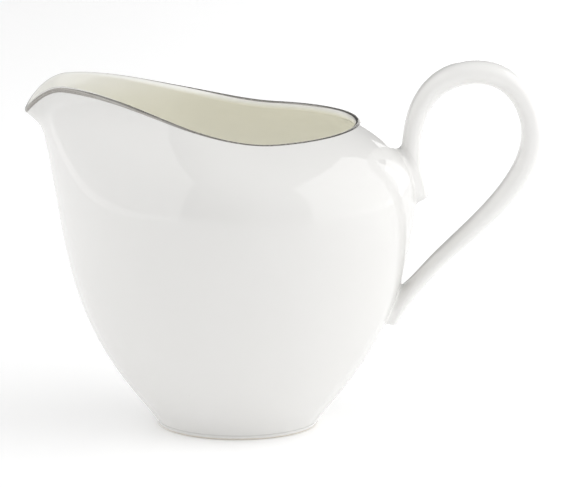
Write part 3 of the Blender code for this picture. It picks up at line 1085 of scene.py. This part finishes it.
@dataclass
class SlipJoint:
    """Slip squeezed out round one end of the handle and sponged into a fillet."""

    side: BuriedSide
    wall_profile: Array
    handle: StrapHandle
    glaze: bpy.types.Material
    fillet: float = 2.5
    crotch_fillet: float = 3.9
    crotch_height: tuple[float, float] = (30.0, 36.0)
    cell: float = 0.2
    skin: float = 0.35

    def off_wall(self, x: Array, y: Array, z: Array) -> Array:
        """Distance outside the wall.

        Args:
            x: from the turning axis.
            y: across the jug.
            z: height.

        Returns:
            Distances in millimetres, negative inside the clay.
        """
        line = self.wall_profile
        slope = np.gradient(line[:, 0], line[:, 1])
        radius = np.hypot(x, y)
        level = np.array(z, float)
        gap = level * 0.0
        for _ in range(4):
            lean = np.interp(level, line[:, 1], slope)
            scale = np.sqrt(1.0 + lean ** 2)
            out = radius - np.interp(level, line[:, 1], line[:, 0])
            rise = z - level
            gap = (out - lean * rise) / scale
            level = z + gap * lean / scale
        return gap

    def off_strap(self, x: Array, y: Array, z: Array) -> Array:
        """Distance outside the strap near this joint.

        Args:
            x: from the turning axis.
            y: across the jug.
            z: height.

        Returns:
            Distances in millimetres, negative inside the strap.
        """
        h = self.handle
        upper = self.side is BuriedSide.UPPER
        count = len(h.centre)
        pick = slice(0, count // 3) if upper else slice(count * 2 // 3, count)
        centre, ahead, across = h.centre[pick], h.ahead[pick], h.across[pick]
        half, inner, wide = h.full[0][pick], h.full[1][pick], h.full[2]
        result = np.empty(x.size)
        flat = np.stack([x.ravel(), z.ravel()], axis=1)
        sides = np.abs(y.ravel())
        power = 2.0 / h.squareness
        end = 0 if upper else len(centre) - 1
        for low in range(0, x.size, 40000):
            part = flat[low:low + 40000]
            away = ((part[:, None, :] - centre[None]) ** 2).sum(axis=2)
            near = away.argmin(axis=1)
            rel = part - centre[near]
            b = (rel * across[near]).sum(axis=1)
            thick = np.where(b > 0.0, half[near], inner[near])
            u = np.abs(b) / thick
            v = sides[low:low + 40000] / wide
            total = np.maximum(u ** power + v ** power, 1e-6)
            value = total ** (1.0 / power)
            steep = np.sqrt((u ** (power - 1.0) / thick) ** 2
                            + (v ** (power - 1.0) / wide) ** 2) * total ** (1 / power - 1)
            body = (value - 1.0) / np.maximum(steep, 0.05)
            rel_end = part - centre[end]
            past = (rel_end * ahead[end]).sum(axis=1) * (-1.0 if upper else 1.0)
            q1, q2 = body + h.end_round, past + h.end_round
            result[low:low + 40000] = (np.minimum(np.maximum(q1, q2), 0.0)
                                       + np.hypot(np.maximum(q1, 0.0), np.maximum(q2, 0.0))
                                       - h.end_round)
        return result.reshape(x.shape)

    def field(self, points: Array) -> tuple[Array, Array]:
        """Distance outside the handle and wall melted together.

        Args:
            points: places, one for each row.

        Returns:
            The distances, and how much slip the melting adds at each place.
        """
        x, y, z = points[..., 0], points[..., 1], points[..., 2]
        a, b = self.off_wall(x, y, z), self.off_strap(x, y, z)
        reach = self.fillet + 0.0 * z
        if self.side is BuriedSide.LOWER:
            reach += (self.crotch_fillet - self.fillet) * ease(*self.crotch_height, z)
        close = np.maximum(reach - np.abs(a - b), 0.0) / reach
        added = close ** 3 * reach / 6.0
        return np.minimum(a, b) - added, added

    def build(self) -> bpy.types.Object:
        """Find the melted surface and keep the part that the slip makes.

        Returns:
            The finished joint, closed with a thin back inside the clay.
        """
        h = self.handle
        upper = self.side is BuriedSide.UPPER
        spots = h.centre[: len(h.centre) // 3] if upper else h.centre[len(h.centre) * 2 // 3:]
        depth = self.off_wall(spots[:, 0], spots[:, 0] * 0.0, spots[:, 1])
        held = spots[depth < 5.2]
        low = np.array([held[:, 0].min() - 5.0, -7.6, held[:, 1].min() - 4.0])
        high = np.array([held[:, 0].max() + 5.0, 7.6, held[:, 1].max() + 4.0])
        size = np.ceil((high - low) / self.cell).astype(int) + 1
        axes = [low[i] + self.cell * np.arange(size[i]) for i in range(3)]
        places = np.stack(np.meshgrid(*axes, indexing="ij"), axis=-1)
        value, _ = self.field(places)
        verts, quads = self.skin_of(value, low)
        for _ in range(4):
            here, _ = self.field(verts)
            slope = np.empty_like(verts)
            for i in range(3):
                step = np.zeros(3)
                step[i] = 0.01
                slope[:, i] = (self.field(verts + step)[0] - self.field(verts - step)[0]) / 0.02
            verts = verts - slope * (here / np.maximum((slope ** 2).sum(axis=1), 0.2))[:, None]
        _, added = self.field(verts)
        keep = (added[quads] > 0.004).any(axis=1)
        quads = quads[keep]
        used, order = np.unique(quads, return_inverse=True)
        verts, quads = verts[used], order.reshape(quads.shape)
        verts[:, 0] += h.axis_x
        name = "upper_slip_fillet" if upper else "lower_slip_fillet"
        obj = mesh_object(name, verts * MM, quads.tolist(), self.glaze)
        thick = obj.modifiers.new("skin", "SOLIDIFY")
        thick.thickness = self.skin * MM
        thick.offset = -1.0
        graph = bpy.context.evaluated_depsgraph_get()
        mesh = bpy.data.meshes.new_from_object(obj.evaluated_get(graph))
        obj.modifiers.clear()
        obj.data = mesh
        mesh.name = name
        mesh.set_sharp_from_angle(angle=math.radians(55.0))
        return obj

    def skin_of(self, value: Array, low: Array) -> tuple[Array, Array]:
        """Surface where a sampled distance is zero.

        Args:
            value: distances on a regular grid.
            low: place of the grid's first point.

        Returns:
            Vertices, and quads whose faces point outwards.
        """
        inside = value < 0.0
        shape = np.array(value.shape) - 1
        corner_sum = np.zeros(shape, int)
        for dx in (0, 1):
            for dy in (0, 1):
                for dz in (0, 1):
                    corner_sum += inside[dx:dx + shape[0], dy:dy + shape[1], dz:dz + shape[2]]
        cells = np.argwhere((corner_sum > 0) & (corner_sum < 8))
        number = -np.ones(shape, int)
        number[tuple(cells.T)] = np.arange(len(cells))
        total = np.zeros((len(cells), 3))
        hits = np.zeros(len(cells))
        for axis in range(3):
            side = [i for i in range(3) if i != axis]
            for a in (0, 1):
                for b in (0, 1):
                    base = np.zeros(3, int)
                    base[side[0]], base[side[1]] = a, b
                    step = np.zeros(3, int)
                    step[axis] = 1
                    first = value[tuple((cells + base).T)]
                    second = value[tuple((cells + base + step).T)]
                    cross = (first < 0.0) != (second < 0.0)
                    share = np.where(cross, first / np.where(cross, first - second, 1.0), 0.0)
                    point = cells + base + step * share[:, None]
                    total += point * cross[:, None]
                    hits += cross
        verts = low + self.cell * total / hits[:, None]
        quads = []
        for axis in range(3):
            u, v = (axis + 1) % 3, (axis + 2) % 3
            step = np.zeros(3, int)
            step[axis] = 1
            first = inside[tuple(slice(0, n - s) for n, s in zip(value.shape, step))]
            second = inside[tuple(slice(s, n) for n, s in zip(value.shape, step))]
            for spot in np.argwhere(first != second):
                if spot[u] == 0 or spot[v] == 0 or spot[u] >= shape[u] or spot[v] >= shape[v]:
                    continue
                ring = []
                for du, dv in ((0, 0), (-1, 0), (-1, -1), (0, -1)):
                    cell = spot.copy()
                    cell[u] += du
                    cell[v] += dv
                    ring.append(number[tuple(cell)])
                if min(ring) >= 0:
                    quads.append(ring if first[tuple(spot)] else ring[::-1])
        return verts, np.array(quads)


# ---- the studio ----------------------------------------------------------------
@dataclass
class Studio:
    """Pale table, soft lights and the camera."""

    table_glow: float = 0.13
    table_half: float = 6.0
    table_gap: float = 0.00004
    room_light: float = 0.12
    sky_patches: tuple[tuple[tuple[float, float, float], float], ...] = (
        ((0.70, -0.60, 0.40), 0.60),
        ((-0.70, -0.60, 0.40), 0.06),
        ((0.0, -0.80, 0.60), 0.12),
        ((0.0, 0.0, 1.0), 0.62),
    )
    inner_watts: float = 0.0150
    inner_height: float = 0.045
    camera_height: float = 0.3469
    camera_back: float = 1.442
    camera_pitch: float = 11.87
    camera_aside: float = 0.00023
    lens: float = 390.7

    def table(self) -> bpy.types.Object:
        """Lay the pale table just under the foot.

        Returns:
            The table object.
        """
        size, low = self.table_half, -self.table_gap
        verts = np.array([[-size, -size, low], [size, -size, low],
                          [size, size, low], [-size, size, low]])
        obj = mesh_object("studio_table", verts, [(0, 1, 2, 3)],
                          StudioTable(glow=self.table_glow).make())
        return obj

    def softbox(self, name: str, place: tuple[float, float, float],
                aim: tuple[float, float, float], size: tuple[float, float],
                power: float) -> None:
        """Hang a rectangular soft light.

        Args:
            name: the light's name.
            place: where it hangs, in metres.
            aim: the point it faces.
            size: width and height in metres.
            power: watts.
        """
        data = bpy.data.lights.new(name, "AREA")
        data.shape = "RECTANGLE"
        data.size, data.size_y = size
        data.energy = power
        lamp = bpy.data.objects.new(name, data)
        lamp.visible_camera = False
        lamp.location = place
        lamp.rotation_euler = (Vector(aim) - Vector(place)).to_track_quat("-Z", "Y").to_euler()
        bpy.context.scene.collection.objects.link(lamp)

    def inner_bounce(self, axis_x: float) -> None:
        """Stand in for the warm light that bone china lets through its wall.

        Args:
            axis_x: x of the turning axis, in metres.
        """
        data = bpy.data.lights.new("inner_bounce", "POINT")
        data.energy = self.inner_watts
        data.shadow_soft_size = 0.014
        data.color = (1.0, 0.97, 0.80)
        lamp = bpy.data.objects.new("inner_bounce", data)
        lamp.location = (axis_x, 0.0, self.inner_height)
        lamp.visible_camera = False
        lamp.visible_glossy = False
        bpy.context.scene.collection.objects.link(lamp)

    def room(self) -> None:
        """Fill the room with pale light that swells gently from a few directions.

        The camera itself sees the room as plain white.
        """
        world = bpy.data.worlds.new("studio_room")
        world.use_nodes = True
        bench = Bench(world.node_tree)
        toward = bench.node("ShaderNodeTexCoord").outputs["Generated"]
        glow: Any = self.room_light
        for direction, strength in self.sky_patches:
            facing = bench.node("ShaderNodeVectorMath", {"operation": "DOT_PRODUCT"},
                                in0=toward, in1=Vector(direction).normalized())
            swell = bench.number(facing.outputs["Value"]).clamped()
            glow = swell * swell * strength + glow
        ray = bench.node("ShaderNodeLightPath")
        seen = bench.number(ray.outputs["Is Camera Ray"])
        glow = glow * (1.0 - seen) + seen
        background = world.node_tree.nodes["Background"]
        background.inputs["Color"].default_value = (1.0, 1.0, 1.0, 1.0)
        world.node_tree.links.new(glow.socket, background.inputs["Strength"])
        bpy.context.scene.world = world

    def camera(self, middle_x: float) -> None:
        """Set up the long-lens camera in front of the jug.

        Args:
            middle_x: x of the middle of the jug, in metres.
        """
        data = bpy.data.cameras.new("studio_camera")
        data.lens = self.lens
        data.sensor_width = 36.0
        data.clip_start, data.clip_end = 0.05, 20.0
        camera = bpy.data.objects.new("studio_camera", data)
        camera.location = (middle_x - self.camera_aside, -self.camera_back, self.camera_height)
        camera.rotation_euler = (math.radians(90.0 - self.camera_pitch), 0.0, 0.0)
        bpy.context.scene.collection.objects.link(camera)
        bpy.context.scene.camera = camera

    def build(self, middle_x: float, axis_x: float) -> None:
        """Set the whole studio.

        Args:
            middle_x: x of the middle of the jug, in metres.
            axis_x: x of the turning axis, in metres.
        """
        self.table()
        self.room()
        self.softbox("left_softbox", (-0.45, -0.04, 0.47), (0.0, -0.04, 0.45), (1.20, 0.93), 2.9)
        self.softbox("right_softbox", (0.45, 0.0, 0.36), (0.0, 0.0, 0.34), (0.86, 0.70), 2.2)
        self.softbox("back_softbox", (0.265, 1.246, 0.074), (0.0, 0.0, 0.045), (0.62, 0.56), 2.4)
        self.softbox("back_right_softbox", (0.765, 1.015, 0.27), (0.0, 0.0, 0.045), (0.62, 0.56), 1.5)
        self.inner_bounce(axis_x)
        self.camera(middle_x)
        view = bpy.context.scene.view_settings
        view.view_transform = "Standard"
        view.look = "None"


def dress(piece: bpy.types.Object, node: str) -> None:
    """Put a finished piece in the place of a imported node.

    Args:
        piece: the finished object.
        node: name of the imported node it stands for.
    """
    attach(piece, "root")
    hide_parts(node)
    log.info("%s stands for %s: %d faces", piece.name, node, len(piece.data.polygons))


def main() -> None:
    """Build the jug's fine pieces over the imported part, then the studio."""
    logging.basicConfig(level=logging.INFO, format="%(name)s: %(message)s")
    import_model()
    foot_low, foot_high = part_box("foot_ring")
    axis_x = (foot_low[0] + foot_high[0]) / 2.0 / MM
    base_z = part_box("body_shell")[0][2] / MM

    glaze = ChinaGlaze().make()
    # painted light: the handle and its slip get lighter copies of the wall's glaze colour, standing
    # in for more light falling on them; the real china is the same throughout
    handle_glaze = ChinaGlaze(name="handle_glaze", outside=(0.835, 0.829, 0.815)).make()
    slip_glaze = ChinaGlaze(name="slip_glaze", outside=(0.800, 0.794, 0.780)).make()
    clay = FootClay(axis_x=axis_x * MM).make()
    metal = PlatinumLine().make()

    wall = JugWall(axis_x=axis_x, base_z=base_z, glaze=glaze)
    body, grid = wall.build()
    dress(body, "body_shell")
    dress(FootRing(axis_x=axis_x, clay=clay).build(), "foot_ring")
    dress(RimLine(wall=wall, metal=metal).build(grid), "rim_line")

    handle = StrapHandle(axis_x=axis_x, glaze=handle_glaze)
    profile = grid[:, 0][:, [0, 2]]
    joints = [SlipJoint(side=side, wall_profile=profile, handle=handle, glaze=slip_glaze)
              for side in BuriedSide]
    handle.lay_out(lambda x, z: joints[0].off_wall(x, x * 0.0, z))
    dress(handle.build(), "handle")
    for joint, node in zip(joints, ("upper_slip_joint", "lower_slip_joint")):
        dress(joint.build(), node)

    Studio().build(0.0, axis_x * MM)


if __name__ == "__main__":
    main()
